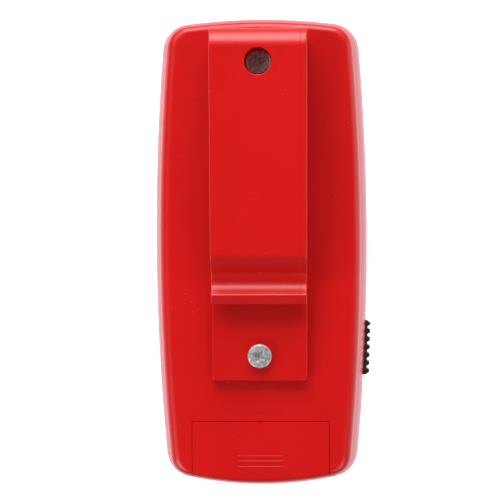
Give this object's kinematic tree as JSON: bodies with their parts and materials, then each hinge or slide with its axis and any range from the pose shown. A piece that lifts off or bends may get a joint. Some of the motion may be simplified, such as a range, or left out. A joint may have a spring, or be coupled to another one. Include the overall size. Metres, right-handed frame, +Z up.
{
  "type": "metronome",
  "caption": "Slim red pocket metronome in a two-part moulded case, with a belt clip, a tempo dial, a slide switch and a battery door.",
  "frame": {"origin": "middle of the belt's seat, inside the clip's bend", "axes": "+Z up the case towards the clip's bend, -Y out of the dial side, +Y out of the clip side, the slide switch on the -X side"},
  "size_m": [0.0508, 0.0366, 0.1102],
  "materials": {
    "red_abs": "moulded, fine satin",
    "black_abs": "moulded, satin",
    "circuit_board_green": "solder-masked glass laminate",
    "zinc_plated_steel": "dull zinc plating",
    "spring_brass": "bright sheet",
    "silver_grey_plastic": "satin",
    "red_lens": "clear red, polished",
    "speaker_paper": "coated paper",
    "capacitor_sleeve": "shrink sleeve",
    "cell_sleeve": "shrink sleeve",
    "red_lead": "PVC insulation"
  },
  "bodies": {
    "root": {"rear_cover": "red_abs", "front_cover": "red_abs", "clip_base": "red_abs", "clip_screw_upper": "zinc_plated_steel", "clip_screw_lower": "zinc_plated_steel", "board_screw_left": "zinc_plated_steel", "board_screw_right": "zinc_plated_steel", "board_screw_lower": "zinc_plated_steel", "circuit_board": "circuit_board_green", "main_chip": "black_abs", "quartz_crystal": "zinc_plated_steel", "capacitor": "capacitor_sleeve", "earphone_socket": "black_abs", "switch_housing": "zinc_plated_steel", "scale_ring": "silver_grey_plastic", "beat_lamp": "red_lens", "speaker_frame": "zinc_plated_steel", "speaker_cone": "speaker_paper", "speaker_magnet": "black_abs", "battery_cell": "cell_sleeve", "battery_contact_plate": "zinc_plated_steel", "battery_spring": "zinc_plated_steel", "positive_lead": "red_lead", "negative_lead": "black_abs", "speaker_lead_left": "black_abs", "speaker_lead_right": "red_lead"},
    "dial": {"tempo_dial": "black_abs", "wiper_carrier": "silver_grey_plastic", "wiper_contact": "spring_brass", "dial_screw": "zinc_plated_steel"},
    "slider": {"slide_knob": "black_abs"},
    "door": {"battery_door": "red_abs"},
    "leaf": {"clip_leaf": "red_abs"}
  },
  "joints": [
    {"name": "dial_turn", "type": "hinge", "parent": "root", "child": "dial", "pos_m": [0, -0.0271, -0.028], "axis": [0, -1, 0], "range_deg": [-160, 160]},
    {"name": "switch_slide", "type": "slide", "parent": "root", "child": "slider", "axis": [0, 0, 1], "range_m": [-0.0015, 0.0015]},
    {"name": "door_slide", "type": "slide", "parent": "root", "child": "door", "axis": [0, 0, -1], "range_m": [0, 0.022]},
    {"name": "clip_flex", "type": "hinge", "parent": "root", "child": "leaf", "pos_m": [0, -0.0035, -0.0025], "axis": [1, 0, 0], "range_deg": [0, 8], "stiffness_Nm_per_rad": 2, "springref_deg": -1.15}
  ]
}
